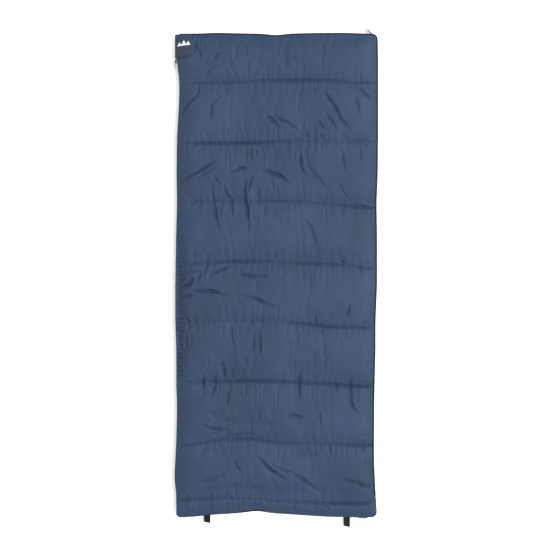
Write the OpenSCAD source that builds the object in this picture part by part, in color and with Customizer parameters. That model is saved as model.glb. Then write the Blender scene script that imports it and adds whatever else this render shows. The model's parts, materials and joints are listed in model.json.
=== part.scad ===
// Rectangular sleeping bag, closed and lying flat, 190 x 80 cm class.
// +Y is the head end, -X the zip side, +X the fold side, +Z up.
// The origin is the centre of the underside, on the floor.

/* [Bag] */
// Length of the bag, head edge to foot edge
bag_l = 1900; // [1700:10:2200]
// Width of the bag, zip edge to fold edge
bag_w = 790; // [700:5:900]
// Loft of the back panel, which lies on the floor
back_t = 24; // [20:1:32]
// Loft of the cover panel
cover_t = 22; // [18:1:30]
// Height of the sleeping space between the linings when the bag is empty
space_h = 8; // [8:1:16]
// Radius of the four corners in plan
corner_r = 20; // [18:1:40]

/* [Quilting] */
// Number of quilting rows sewn across each panel
quilt_rows = 8; // [6:1:9]
// Distance from the head edge to the first row
quilt_first = 190; // [150:5:240]
// Distance between rows
quilt_pitch = 236; // [180:1:240]
// Depth of a row's groove in the cover shell
cover_groove = 8; // [4:0.5:10]
// Depth of a row's groove in the back shell, which the floor flattens
back_groove = 3; // [2:0.5:6]
// Depth of a row's groove in either lining
lining_groove = 3; // [1:0.5:4]
// Thickness that each fabric layer is drawn at
fabric_t = 0.8; // [0.5:0.1:1.5]

/* [Edges] */
// Thickness of a panel at its sewn edge
nose_t = 10; // [8:0.5:12]
// Width of that sewn edge
nose_l = 12; // [8:1:16]
// Thickness of the binding tape
binding_t = 1; // [0.6:0.1:1.5]

/* [Zip] */
// Distance from the head edge to the start of the teeth
zip_start = 98.5; // [95:0.5:160]
// How far the zip runs up the fold side past the foot corner
zip_end_run = 60; // [50:5:120]
// Thickness of the zip tape
tape_t = 1; // [0.6:0.1:1.2]
// Width of one row of teeth
teeth_w = 2.5; // [2:0.1:3]
// Gap between the two rows of teeth
teeth_gap = 2; // [1.8:0.1:2.4]
// Length of a slider
slider_l = 16; // [12:1:18]
// Length of a pull tab
pull_l = 30; // [20:1:36]

/* [Flap] */
// Size of the closure flap along the bag
flap_l = 90; // [60:1:92]
// Reach of the flap base over the cover
flap_reach = 66; // [64:1:90]
// Thickness of the flap's doubled fabric
flap_t = 1.2; // [0.8:0.1:1.2]

/* [Loops] */
// Width of the webbing of the foot loops
webbing_w = 25; // [15:1:38]
// Length of a foot loop
foot_loop_l = 33; // [32:1:50]
// Distance between the two foot loops
foot_loop_span = 552; // [300:2:560]
// Thickness of the webbing
webbing_t = 1.4; // [1:0.1:1.6]
// Length of the head loop
head_loop_l = 28; // [22:1:36]
// Width of the head loop's narrow tape
head_tape_w = 10; // [8:1:14]
// Angle at which the head loop leans over towards the zip side
head_loop_lean = 50; // [0:5:55]

/* [Hidden] */
$fn = 48;

slate_blue = [0.27, 0.35, 0.46];
navy = [0.13, 0.16, 0.24];
near_black = [0.06, 0.06, 0.07];
fibre_white = [0.92, 0.93, 0.94];

head_y = bag_l / 2;
foot_y = -bag_l / 2;
fold_x = bag_w / 2;
zip_x = -bag_w / 2;
cover_in_z = back_t + space_h;        // the cover's lining side
cover_out_z = cover_in_z + cover_t;   // the cover's outer side
mid_z = back_t + space_h / 2;         // where the two rows of teeth meet
teeth_out = 2;                        // the teeth stand this far past the panel edge
teeth_in = 0.5;                       // and reach this far inside it
stop_l = 5;                           // length of a zip stop
stop_y = head_y - zip_start;          // top end of the teeth, on the zip side
zip_end_y = foot_y + corner_r + zip_end_run;  // other end of the zip, on the fold side
running = 0.3;                        // clearance between pieces that pass each other
over = 20;                            // cutters reach this far past the bag
leg_gap = 5.2;                        // the flap's leg hangs this far past the panel edge
groove_reach = 35;                    // half the width of a quilting groove
flank_at = 0.4;                       // a groove's flank ends this far out, of its half width
flank_depth = 0.3;                    // and is then this deep, of the groove's depth
edge_rise = 50;                       // a panel is full thickness this far past its nose

function row_y(i) = head_y - quilt_first - i * quilt_pitch;

// Depth below the crown plane, along the bag: the grooves of the quilting rows.
function rows_line(groove) = [
    for (i = [0:quilt_rows - 1], s = [1, flank_at, 0, -flank_at, -1])
        if (!(i == quilt_rows - 1 && s == -1))
            [row_y(i) + s * groove_reach, groove * (s == 0 ? 1 : abs(s) < 1 ? flank_depth : 0)]
];

// The whole outer line along the bag, from head to foot, with its sewn noses.
function outer_line(groove, nose) = concat(
    [[head_y + over, nose], [head_y - nose_l, nose],
     [head_y - nose_l - 0.4 * edge_rise, 0.35 * nose], [head_y - nose_l - edge_rise, 0]],
    rows_line(groove),
    [[foot_y + nose_l + 14, 0.45 * nose], [foot_y + nose_l, nose], [foot_y - over, nose]]
);

// The lining's line along the bag, from head to foot.
function inner_line(groove) = concat(
    [[head_y + over, 0]],
    rows_line(groove),
    [[foot_y + nose_l, 0], [foot_y - over, 0]]
);

// The outer line across the bag, from the zip edge to the fold edge.
function cross_line(nose) = [
    [zip_x - over, nose], [zip_x + nose_l, nose],
    [zip_x + nose_l + 0.4 * edge_rise, 0.35 * nose], [zip_x + nose_l + edge_rise, 0],
    [fold_x - nose_l - edge_rise, 0], [fold_x - nose_l - 0.4 * edge_rise, 0.35 * nose],
    [fold_x - nose_l, nose], [fold_x + over, nose]
];

// A line's heights measured from level z, up for side 1 and down for side -1.
function at_level(line, z, side) = [for (p = line) [p[0], z + side * p[1]]];
function reversed(line) = [for (i = [len(line) - 1:-1:0]) line[i]];

module rounded_rectangle(w, l, r) {
    square([w - 2 * r, l], center = true);
    square([w, l - 2 * r], center = true);
    for (x = [-1, 1], y = [-1, 1])
        translate([x * (w / 2 - r), y * (l / 2 - r)]) circle(r = r);
}

// The bag's outline in plan, grown by a distance.
module outline(grow = 0)
    rounded_rectangle(bag_w + 2 * grow, bag_l + 2 * grow, corner_r + grow);

// A (y, z) profile carried across the bag, and an (x, z) profile carried along it.
module along_x(points)
    rotate([90, 0, 90]) linear_extrude(bag_w + 2 * over, center = true) polygon(points);
module along_y(points, y0 = foot_y - over, y1 = head_y + over)
    translate([0, y1, 0]) rotate([90, 0, 0]) linear_extrude(y1 - y0) polygon(points);

// One panel between its outer skin and level in_z. side is 1 where the outer skin is on top.
// nose is how far its sewn edge lies below the crown, and skin takes that much
// off the outer skin and the edges.
module panel(out_z, in_z, side, groove, nose, skin) {
    intersection() {
        translate([0, 0, min(out_z, in_z) - over])
            linear_extrude(abs(out_z - in_z) + 2 * over) outline(-skin);
        along_x(concat(at_level(outer_line(groove, nose), out_z - side * skin, -side),
            [[foot_y - over, in_z], [head_y + over, in_z]]));
        along_y(concat(at_level(cross_line(nose), out_z - side * skin, -side),
            [[fold_x + over, in_z], [zip_x - over, in_z]]));
    }
}

module shell(out_z, in_z, side, groove) {
    nose = abs(out_z - in_z) - nose_t;
    difference() {
        panel(out_z, in_z, side, groove, nose, 0);
        panel(out_z, in_z - side * over, side, groove, nose, fabric_t);
    }
}

module lining(in_z, side) {
    line = inner_line(lining_groove);
    intersection() {
        translate([0, 0, in_z - over]) linear_extrude(2 * over) outline(-fabric_t);
        along_x(concat(at_level(line, in_z, side),
            reversed(at_level(line, in_z + side * fabric_t, side))));
    }
}

module batting(out_z, in_z, side, groove) {
    nose = abs(out_z - in_z) - nose_t;
    outer = at_level(outer_line(groove, nose), out_z - side * fabric_t, -side);
    inner = at_level(inner_line(lining_groove), in_z + side * fabric_t, side);
    intersection() {
        translate([0, 0, min(out_z, in_z)])
            linear_extrude(abs(out_z - in_z)) outline(-fabric_t);
        along_x(concat(outer, reversed(inner)));
        along_y(concat(at_level(cross_line(nose), out_z - side * fabric_t, -side),
            [[fold_x + over, in_z], [zip_x - over, in_z]]));
    }
}

// The thread of the quilting rows, resting on the two flanks of each groove.
module quilting_thread(out_z, side, groove) {
    thread_w = 1.2;
    thread_t = 0.6;
    half = fold_x - nose_l - edge_rise;
    flank_slope = (1 - flank_depth) * groove / (flank_at * groove_reach);
    rest_z = out_z - side * (groove - flank_slope * thread_w / 2);
    for (i = [0:quilt_rows - 1])
        translate([-half, row_y(i) - thread_w / 2, rest_z - (side < 0 ? thread_t : 0)])
            cube([2 * half, thread_w, thread_t]);
}

// Binding tape: it covers the sewn edge's outer lip and its end face.
module head_binding(in_z, side) {
    half = fold_x - corner_r;
    lip_z = in_z + side * nose_t;
    translate([-half, head_y, min(in_z, lip_z + side * binding_t)])
        cube([2 * half, binding_t, nose_t + binding_t]);
    translate([-half, head_y - nose_l, min(lip_z, lip_z + side * binding_t)])
        cube([2 * half, nose_l, binding_t]);
}

module fold_binding(in_z, side) {
    y0 = zip_end_y;
    y1 = head_y - corner_r;
    lip_z = in_z + side * nose_t;
    end_z = mid_z + side * running;
    translate([fold_x, y0, min(end_z, lip_z + side * binding_t)])
        cube([binding_t, y1 - y0, abs(lip_z - end_z) + binding_t]);
    translate([fold_x - nose_l, y0, min(lip_z, lip_z + side * binding_t)])
        cube([nose_l, y1 - y0, binding_t]);
}

// The path of the zip in plan: a band between two growths of the outline, from
// the top of the zip side, round the foot and a little way up the fold side.
module zip_band(inner, outer, top_y, end_y = zip_end_y) {
    intersection() {
        difference() {
            outline(outer);
            outline(inner);
        }
        union() {
            translate([zip_x - over, foot_y - over]) square([bag_w / 2, top_y - foot_y + over]);
            translate([zip_x - over, foot_y - over]) square([bag_w + 2 * over, end_y - foot_y + over]);
        }
    }
}

module zip_tape(in_z, side) {
    teeth_z = mid_z + side * (teeth_gap / 2 + teeth_w);
    far_z = in_z + side * nose_t;
    translate([0, 0, min(teeth_z, far_z)])
        linear_extrude(abs(far_z - teeth_z)) zip_band(0, tape_t, head_y - corner_r);
}

module zip_teeth(side) {
    translate([0, 0, mid_z + (side > 0 ? teeth_gap / 2 : -teeth_gap / 2 - teeth_w)])
        linear_extrude(teeth_w)
            zip_band(-teeth_in, teeth_out, stop_y, zip_end_y - stop_l);
}

// Stops at both ends of one row of teeth.
module zip_stops(side) {
    z = mid_z + (side > 0 ? teeth_gap / 2 : -teeth_gap / 2 - teeth_w);
    translate([zip_x - teeth_out, stop_y, z]) cube([teeth_out + teeth_in, stop_l, teeth_w]);
    translate([fold_x - teeth_in, zip_end_y - stop_l, z])
        cube([teeth_out + teeth_in, stop_l, teeth_w]);
}

plate_t = 2.5;                         // outer plate of a slider
plate_x = -teeth_out - 0.5;            // that plate's inner face, from the panel's edge
ear_l = 4;                             // the ears' reach past the outer plate
pin_r = 0.8;                           // radius of the pull's pin
pin_x = plate_x - plate_t - ear_l + 1.9;

// A slider at the middle of the chain, facing -X, with its post at the +Y end.
module slider_at_origin() {
    plate_w = 12;
    tail_w = 9;
    inner_x = teeth_in + running;
    inner_t = 1.8;
    inner_w = space_h - 2 * running - 0.4;
    post_w = teeth_gap - 2 * running;
    // outer plate, wide at the post and narrow at the tail
    translate([plate_x - plate_t, 0, 0]) rotate([90, 0, 90]) linear_extrude(plate_t)
        polygon([[slider_l / 2, -plate_w / 2 + 2], [slider_l / 2, plate_w / 2 - 2],
                 [slider_l / 2 - 2, plate_w / 2], [2, plate_w / 2],
                 [-slider_l / 2, tail_w / 2], [-slider_l / 2, -tail_w / 2],
                 [2, -plate_w / 2], [slider_l / 2 - 2, -plate_w / 2]]);
    // the lip that guides the back's row of teeth
    translate([plate_x, -slider_l / 2 + 2, -plate_w / 2]) cube([1.2, slider_l - 6, 1]);
    // inner plate
    translate([inner_x, 0, 0]) rotate([90, 0, 90]) linear_extrude(inner_t)
        polygon([[slider_l / 2, -inner_w / 2 + 1], [slider_l / 2, inner_w / 2 - 1],
                 [slider_l / 2 - 1, inner_w / 2], [-slider_l / 2, inner_w / 2],
                 [-slider_l / 2, -inner_w / 2], [slider_l / 2 - 1, -inner_w / 2]]);
    // post between the two plates
    translate([plate_x, slider_l / 2 - 4, -post_w / 2])
        cube([inner_x - plate_x, 3.4, post_w]);
    // ears that hold the pull's pin
    for (z = [-4, 2.6])
        difference() {
            translate([plate_x - plate_t - ear_l, -2, z]) cube([ear_l, 4, 1.4]);
            translate([pin_x, 0, z - 0.5]) cylinder(r = pin_r, h = 3);
        }
}

module slider_pin_at_origin()
    translate([pin_x, 0, -4]) cylinder(r = pin_r, h = 8);

// A pull tab that lies back along -Y from its pin.
module pull_at_origin() {
    eye_r = 1.7;
    neck_w = 4.8;
    grip_w = 9;
    tab_t = 1.6;
    translate([pin_x, 0, 0])
        difference() {
            union() {
                translate([0, 0, -neck_w / 2]) cylinder(r = eye_r, h = neck_w);
                translate([-tab_t / 2, -9, -neck_w / 2]) cube([tab_t, 9, neck_w]);
                translate([-tab_t / 2, -pull_l + grip_w / 2, -grip_w / 2])
                    cube([tab_t, pull_l - grip_w / 2 - 7, grip_w]);
                translate([-tab_t / 2, -pull_l + grip_w / 2, 0]) rotate([0, 90, 0])
                    cylinder(r = grip_w / 2, h = tab_t);
            }
            translate([0, 0, -neck_w]) cylinder(r = pin_r + 0.1, h = 2 * neck_w);
        }
}

// Where the two sliders are parked: at the top end of the zip, and past the foot's fold corner.
foot_park = 25;                        // the foot slider stands this far from the corner's curve
module on_side_zip()
    translate([zip_x, stop_y - slider_l / 2, mid_z]) children();
module on_foot_zip()
    translate([fold_x - corner_r - foot_park, foot_y, mid_z])
        rotate([0, 0, 90]) mirror([0, 1, 0]) children();

// The flap's base lies over the cover from the zip edge inwards.
flap_y1 = head_y - 3;
flap_y0 = flap_y1 - flap_l;
flap_leg_x = zip_x - leg_gap - flap_t; // outer face of the hanging leg
flap_top_z = cover_in_z + nose_t;      // the cover's sewn edge, which the flap passes over

function flap_line(lift) = let (nose = cover_t - nose_t) [
    [flap_leg_x, flap_top_z + lift],
    [zip_x + nose_l, flap_top_z + lift],
    [zip_x + nose_l + 0.4 * edge_rise, cover_out_z - 0.35 * nose + lift],
    [zip_x + nose_l + edge_rise, cover_out_z + lift],
    [zip_x + flap_reach, cover_out_z + lift]
];

// A layer of the flap between two heights over the cover's skin.
module flap_layer(low, high)
    along_y(concat(flap_line(low), reversed(flap_line(high))), flap_y0, flap_y1);

flap_lift = 0.2;                       // clearance under and beside the flap's base
module flap_base() flap_layer(flap_lift, flap_lift + flap_t);

// A plain badge of three peaks on the flap's base.
module flap_badge() {
    badge_t = 0.4;
    peak_w = 14;
    peak_h = 12;
    intersection() {
        flap_layer(flap_lift + flap_t, flap_lift + flap_t + badge_t);
        translate([zip_x + 30, flap_y0 + 0.55 * flap_l, cover_in_z])
            for (i = [-1:1])
                translate([i * peak_w, 0, 0]) linear_extrude(2 * cover_t)
                    polygon([[1 - peak_w / 2, 0], [peak_w / 2 - 1, 0], [0, peak_h]]);
    }
}

// The hanging leg of the flap, which covers the top of the zip.
module closure_flap() {
    leg_h = 30;
    translate([flap_leg_x, flap_y0, flap_top_z - flap_lift - leg_h]) cube([flap_t, flap_l, leg_h]);
}

// The two patches of hook and loop tape that hold the flap's leg to the back's edge.
patch_inset = 12;                      // the patches stop this far short of the flap's ends
module velcro_hook_patch() {
    hook_t = 1.4;
    hook_h = 8;
    translate([flap_leg_x + flap_t, flap_y0 + patch_inset, back_t - nose_t + 1])
        cube([hook_t, flap_l - 2 * patch_inset, hook_h]);
}

module velcro_loop_patch() {
    loop_t = 2.2;
    loop_h = 9;
    translate([zip_x - tape_t - loop_t, flap_y0 + patch_inset, back_t - nose_t + 0.5])
        cube([loop_t, flap_l - corner_r - patch_inset, loop_h]);
}

// The folded label, sewn in at the zip edge of the back's lining.
module care_label() {
    label_w = 28;
    label_l = 45;
    label_t = 0.4;
    translate([zip_x + 4, head_y - 300, back_t + 0.05]) cube([label_w, label_l, label_t]);
}

// A band of webbing folded into a drop shape, in a (length, height) plane. It
// opens from a point at the origin to a round end of radius r, reach away.
module drop_band(reach, r, band_t) {
    a = asin(r / (reach - r));
    module drop(tip, radius)
        translate([-tip, 0]) {
            c = reach - r - tip;
            translate([-c, 0]) circle(r = radius);
            polygon([[0, 0], [-c + radius * sin(a), radius * cos(a)],
                     [-c + radius * sin(a), -radius * cos(a)]]);
        }
    difference() {
        drop(0, r);
        drop(band_t / sin(a), r - band_t);
    }
}

loop_gap = 3.4;                        // a loop's root stands this far past the edge
module foot_loop(side) {
    loop_z = 8;
    bend_r = 6;
    translate([side * foot_loop_span / 2, foot_y - loop_gap, loop_z])
        rotate([90, 0, 90]) linear_extrude(webbing_w, center = true)
            drop_band(foot_loop_l, bend_r, webbing_t);
}

// The narrow loop at the fold end of the head edge. Its tape stands on edge.
module head_loop() {
    bend_r = 4.4;
    tape_t = 1;
    translate([fold_x - corner_r, head_y + loop_gap, back_t - nose_t - 2])
        rotate([0, 0, head_loop_lean - 90]) linear_extrude(head_tape_w)
            drop_band(head_loop_l, bend_r, tape_t);
}

color(slate_blue) shell(0, back_t, -1, back_groove);  // back_shell
color(fibre_white) batting(0, back_t, -1, back_groove);  // back_batting
color(navy) lining(back_t, -1);  // back_lining
color(navy) quilting_thread(0, -1, back_groove);  // back_quilting_thread
color(near_black) head_binding(back_t, -1);  // back_head_binding
color(near_black) fold_binding(back_t, -1);  // back_fold_binding
color(near_black) zip_tape(back_t, -1);  // back_zip_tape
color(near_black) zip_teeth(-1);  // back_zip_teeth
color("silver") zip_stops(-1);  // back_zip_stops
color(near_black) velcro_loop_patch();
color("white") care_label();
color(slate_blue) shell(cover_out_z, cover_in_z, 1, cover_groove);  // cover_shell
color(fibre_white) batting(cover_out_z, cover_in_z, 1, cover_groove);  // cover_batting
color(navy) lining(cover_in_z, 1);  // cover_lining
color(navy) quilting_thread(cover_out_z, 1, cover_groove);  // cover_quilting_thread
color(near_black) head_binding(cover_in_z, 1);  // cover_head_binding
color(near_black) fold_binding(cover_in_z, 1);  // cover_fold_binding
color(near_black) zip_tape(cover_in_z, 1);  // cover_zip_tape
color(near_black) zip_teeth(1);  // cover_zip_teeth
color("silver") zip_stops(1);  // cover_zip_stops
color(navy) flap_base();
color("lightsteelblue") flap_badge();
color(navy) closure_flap();
color(near_black) velcro_hook_patch();
color("dimgray") on_side_zip() slider_at_origin();  // side_slider
color("silver") on_side_zip() slider_pin_at_origin();  // side_slider_pin
color(near_black) on_side_zip() pull_at_origin();  // side_pull
color("dimgray") on_foot_zip() slider_at_origin();  // foot_slider
color("silver") on_foot_zip() slider_pin_at_origin();  // foot_slider_pin
color(near_black) on_foot_zip() pull_at_origin();  // foot_pull
color(near_black) foot_loop(-1);  // left_foot_loop
color(near_black) foot_loop(1);  // right_foot_loop
color(near_black) head_loop();
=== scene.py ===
"""Rectangular sleeping bag, closed and lying flat: its looks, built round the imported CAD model.

Everything is in metres in the CAD frame: +Y head end, -X zip side, +X fold side, +Z up.
"""

import json
import math

import bmesh
import bpy
import numpy as np
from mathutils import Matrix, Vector, noise
from mathutils.bvhtree import BVHTree


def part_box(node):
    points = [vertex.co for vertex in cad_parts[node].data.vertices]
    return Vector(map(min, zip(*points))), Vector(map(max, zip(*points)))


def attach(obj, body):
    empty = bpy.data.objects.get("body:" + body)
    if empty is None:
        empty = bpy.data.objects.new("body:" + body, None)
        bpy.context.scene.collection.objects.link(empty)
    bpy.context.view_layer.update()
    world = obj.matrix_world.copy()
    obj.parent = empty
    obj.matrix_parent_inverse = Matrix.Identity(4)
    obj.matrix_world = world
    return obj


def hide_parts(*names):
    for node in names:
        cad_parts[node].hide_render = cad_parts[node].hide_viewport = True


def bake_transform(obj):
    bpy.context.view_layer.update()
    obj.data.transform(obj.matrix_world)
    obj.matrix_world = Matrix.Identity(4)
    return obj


MM = 0.001

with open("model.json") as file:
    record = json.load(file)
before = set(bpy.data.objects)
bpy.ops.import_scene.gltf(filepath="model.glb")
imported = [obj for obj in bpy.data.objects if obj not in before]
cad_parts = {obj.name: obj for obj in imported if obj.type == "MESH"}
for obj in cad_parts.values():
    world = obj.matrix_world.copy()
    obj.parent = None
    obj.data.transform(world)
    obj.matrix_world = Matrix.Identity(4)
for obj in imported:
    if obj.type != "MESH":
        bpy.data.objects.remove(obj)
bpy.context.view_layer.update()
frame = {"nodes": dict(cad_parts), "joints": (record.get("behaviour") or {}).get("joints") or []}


# ---------------------------------------------------------------- measures from the frame

COVER_LOW, COVER_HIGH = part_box("cover_shell")
HALF_W = COVER_HIGH.x
HALF_L = COVER_HIGH.y
COVER_IN_Z = COVER_LOW.z
COVER_OUT_Z = COVER_HIGH.z
BACK_IN_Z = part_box("back_shell")[1].z
MID_Z = (COVER_IN_Z + BACK_IN_Z) / 2
CORNER_R = HALF_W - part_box("cover_head_binding")[1].x
EDGE_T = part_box("cover_zip_tape")[1].z - COVER_IN_Z        # thickness of a panel at its sewn edge
FOLD_Y0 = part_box("cover_fold_binding")[0].y                # the fold seam starts here, past the zip
STOP_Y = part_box("back_zip_stops")[1].y                     # top end of the zip


def thread_rows():
    """The Y of every quilting row, read from the separate stitches of the thread's node."""
    mesh = frame["nodes"]["cover_quilting_thread"].data
    found = sorted({round(v.co.y, 4) for v in mesh.vertices}, reverse=True)
    return [(a + b) / 2 for a, b in zip(found[::2], found[1::2])]


ROWS = thread_rows()


# ---------------------------------------------------------------- camera, light and floor

def make_camera():
    """Straight above the bag, framed as loosely as a catalogue picture."""
    data = bpy.data.cameras.new("camera")
    data.lens = 100
    data.sensor_width = 36
    camera = bpy.data.objects.new("camera", data)
    camera.location = (-0.008, 0.001, 6.05)
    bpy.context.scene.collection.objects.link(camera)
    bpy.context.scene.camera = camera


def area_light(name, place, target, size, power):
    data = bpy.data.lights.new(name, "AREA")
    data.shape = "DISK"
    data.size = size
    data.energy = power
    light = bpy.data.objects.new(name, data)
    light.location = place
    light.rotation_euler = (Vector(target) - Vector(place)).to_track_quat("-Z", "Y").to_euler()
    bpy.context.scene.collection.objects.link(light)


def make_stage():
    scene = bpy.context.scene
    scene.view_settings.view_transform = "Standard"
    world = bpy.data.worlds.new("studio")
    world.use_nodes = True
    world.node_tree.nodes["Background"].inputs["Color"].default_value = (1, 1, 1, 1)
    world.node_tree.nodes["Background"].inputs["Strength"].default_value = 1.35
    scene.world = world
    area_light("key", place=(10.5, 2.4, 21.5), target=(0, 0, 0), size=7.2, power=6200)
    bpy.ops.mesh.primitive_plane_add(size=12, location=(0, 0, 0))
    floor = bpy.context.object
    floor.name = "floor"
    material = bpy.data.materials.new("floor")
    material.use_nodes = True
    shader = material.node_tree.nodes["Principled BSDF"]
    shader.inputs["Base Color"].default_value = (0.96, 0.96, 0.96, 1)
    shader.inputs["Roughness"].default_value = 0.9
    floor.data.materials.append(material)


# ---------------------------------------------------------------- materials

def new_material(name, roughness, sheen=0.0, metallic=0.0, specular=0.5):
    """A principled material, its shader, and a function that adds and wires a node."""
    material = bpy.data.materials.new(name)
    material.use_nodes = True
    tree = material.node_tree
    shader = tree.nodes["Principled BSDF"]
    shader.inputs["Roughness"].default_value = roughness
    shader.inputs["Metallic"].default_value = metallic
    shader.inputs["Specular IOR Level"].default_value = specular
    shader.inputs["Sheen Weight"].default_value = sheen
    shader.inputs["Sheen Roughness"].default_value = 0.4

    def add(kind, **inputs):
        made = tree.nodes.new(kind)
        for key, value in inputs.items():
            socket = made.inputs[key.replace("_", " ")]
            if isinstance(value, bpy.types.NodeSocket):
                tree.links.new(value, socket)
            else:
                socket.default_value = value
        return made

    return material, shader, add, tree.links.new


def between(add, factor, low, high):
    """A colour ramp from low to high by factor."""
    ramp = add("ShaderNodeValToRGB", Fac=factor)
    ramp.color_ramp.elements[0].position = 0.3
    ramp.color_ramp.elements[1].position = 0.7
    ramp.color_ramp.elements[0].color = (*low, 1)
    ramp.color_ramp.elements[1].color = (*high, 1)
    return ramp.outputs["Color"]


def scaled(colour, by):
    return tuple(min(1, c * by) for c in colour)


def weave(add, coordinates, pitch):
    """Height of a plain weave with that pitch: two crossed waves."""
    waves = []
    for direction in "XY":
        wave = add("ShaderNodeTexWave", Vector=coordinates, Scale=0.314 / pitch)
        wave.bands_direction = direction
        waves.append(wave.outputs["Fac"])
    mixed = add("ShaderNodeMath", Value=waves[0])
    mixed.operation = "ADD"
    mixed.id_data.links.new(waves[1], mixed.inputs[1])
    return mixed.outputs[0]


def fabric(name, colour, roughness=0.5, sheen=0.3, pitch=0.0007, depth=0.00006,
           variation=0.12, crease=0.0, specular=0.5, patches=9.0):
    """Woven cloth: colour that varies gently, a weave, and fine creases of the given height."""
    material, shader, add, link = new_material(name, roughness, sheen, specular=specular)
    coordinates = add("ShaderNodeTexCoord").outputs["Object"]
    cloud = add("ShaderNodeTexNoise", Vector=coordinates, Scale=patches, Detail=5.0,
                Roughness=0.65)
    low, high = scaled(colour, 1 - variation), scaled(colour, 1 + variation)
    link(between(add, cloud.outputs["Fac"], low, high), shader.inputs["Base Color"])
    bump = add("ShaderNodeBump", Height=weave(add, coordinates, pitch), Distance=depth,
               Strength=0.5)
    if crease:
        soft = add("ShaderNodeTexNoise", Vector=coordinates, Scale=26.0, Detail=4.0,
                   Roughness=0.55, Distortion=0.6)
        bump = add("ShaderNodeBump", Height=soft.outputs["Fac"], Distance=crease,
                   Strength=0.6, Normal=bump.outputs["Normal"])
    link(bump.outputs["Normal"], shader.inputs["Normal"])
    return material


def webbing_material(name, colour):
    """Coarse woven strap: a herringbone of slanting waves."""
    material, shader, add, link = new_material(name, 0.8, specular=0.1)
    coordinates = add("ShaderNodeTexCoord").outputs["Object"]
    slant = add("ShaderNodeTexWave", Vector=coordinates, Scale=120.0, Distortion=0.4)
    slant.bands_direction = "DIAGONAL"
    link(between(add, slant.outputs["Fac"], scaled(colour, 0.7), scaled(colour, 1.6)),
         shader.inputs["Base Color"])
    bump = add("ShaderNodeBump", Height=slant.outputs["Fac"], Distance=0.0003, Strength=0.8)
    link(bump.outputs["Normal"], shader.inputs["Normal"])
    return material


def hard_material(name, colour, roughness, metallic=0.0, grain=400.0, specular=0.5):
    """Moulded plastic or metal with a fine grain, and random patches of lighter and darker colour:
    wear, with painted sheen in the lighter patches.
    """
    material, shader, add, link = new_material(name, roughness, metallic=metallic,
                                               specular=specular)
    coordinates = add("ShaderNodeTexCoord").outputs["Object"]
    fine = add("ShaderNodeTexNoise", Vector=coordinates, Scale=grain, Detail=3.0)
    # random patches of lighter and darker colour: wear, with painted sheen where the colour is
    # lighter
    wear_and_painted_sheen = add("ShaderNodeTexNoise", Vector=coordinates, Scale=grain / 4, Detail=2.0)
    link(between(add, wear_and_painted_sheen.outputs["Fac"], scaled(colour, 0.85), scaled(colour, 1.2)),
         shader.inputs["Base Color"])
    bump = add("ShaderNodeBump", Height=fine.outputs["Fac"], Distance=0.00005, Strength=0.4)
    link(bump.outputs["Normal"], shader.inputs["Normal"])
    return material


def pile_material(name, colour):
    """Hook-and-loop pile: a dense mat of small cells."""
    material, shader, add, link = new_material(name, 0.85, specular=0.1)
    coordinates = add("ShaderNodeTexCoord").outputs["Object"]
    cells = add("ShaderNodeTexVoronoi", Vector=coordinates, Scale=900.0)
    link(between(add, cells.outputs["Distance"], scaled(colour, 1.8), colour),
         shader.inputs["Base Color"])
    bump = add("ShaderNodeBump", Height=cells.outputs["Distance"], Distance=0.0005, Strength=0.9)
    link(bump.outputs["Normal"], shader.inputs["Normal"])
    return material


SLATE = (0.0114, 0.0264, 0.0560)
NAVY = (0.016, 0.024, 0.045)
BLACK = (0.006, 0.006, 0.007)
M = {
    "shell": fabric("shell_taffeta", SLATE, 0.6, 0.05, variation=0.17, crease=0.0008, specular=0.2,
                    patches=4.5),
    "lining": fabric("lining_taffeta", NAVY, 0.55, 0.05, crease=0.0008, specular=0.2),
    "flap": fabric("flap_taffeta", (0.017, 0.023, 0.041), 0.6, 0.05, variation=0.08, specular=0.2),
    "binding": fabric("binding_tape", (0.009, 0.012, 0.017), 0.8, 0.0, 0.0012, 0.00015,
                      specular=0.1),
    "tape": fabric("zip_tape", BLACK, 0.8, 0.0, 0.0010, 0.00015, specular=0.1),
    "thread": fabric("thread", (0.012, 0.024, 0.048), 0.7, 0.0, 0.0004, 0.00010, specular=0.1),
    "label": fabric("label_satin", (0.70, 0.70, 0.67), 0.5, 0.2, 0.0005),
    "print": fabric("badge_print", (0.62, 0.66, 0.72), 0.6, 0.0, 0.0006, variation=0.05),
    "webbing": webbing_material("webbing", (0.008, 0.008, 0.008)),
    "teeth": hard_material("zip_teeth", (0.010, 0.010, 0.012), 0.4, specular=0.3),
    "slider": hard_material("slider_paint", (0.014, 0.014, 0.016), 0.4, specular=0.4),
    "steel": hard_material("zip_metal", (0.45, 0.46, 0.48), 0.3, 1.0),
    "pull": hard_material("pull_rubber", (0.010, 0.010, 0.011), 0.6, specular=0.2),
    "pile": pile_material("hook_and_loop", (0.008, 0.008, 0.010)),
}


# ---------------------------------------------------------------- the outline in plan

# How far each edge stands out from the straight outline, in millimetres, at places along it.
ZIP_EDGE = ([-0.95, -0.93, -0.85, -0.82, -0.79, -0.73, -0.65, -0.51, -0.44, -0.30, -0.18,
             -0.04, 0.15, 0.28, 0.40, 0.55, 0.63, 0.70, 0.76, 0.80, 0.83, 0.86, 0.95],
            [2, 0, 0, 6, 7, 4, 0, -3, 0, 0, 4, 4, 1, -3, -1, -3, -8, -12, -12, -8, -3, -3, 1])
FOLD_EDGE = ([-0.95, -0.92, -0.84, -0.73, -0.66, -0.51, -0.40, -0.30, -0.18, -0.04, 0.15,
              0.29, 0.40, 0.55, 0.70, 0.85, 0.91, 0.95],
             [-3, -4, -10, -15, -15, -14, -12, -9, -9, -3, -3, -5, 0, 1, 1, 1, 0, 0])
HEAD_EDGE = ([-0.40, -0.30, -0.25, -0.15, -0.05, -0.005, 0.05, 0.15, 0.25, 0.35, 0.40],
             [0, 0, 3, 1, -1, -8, 0, 2, 3, 0, -2])
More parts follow.
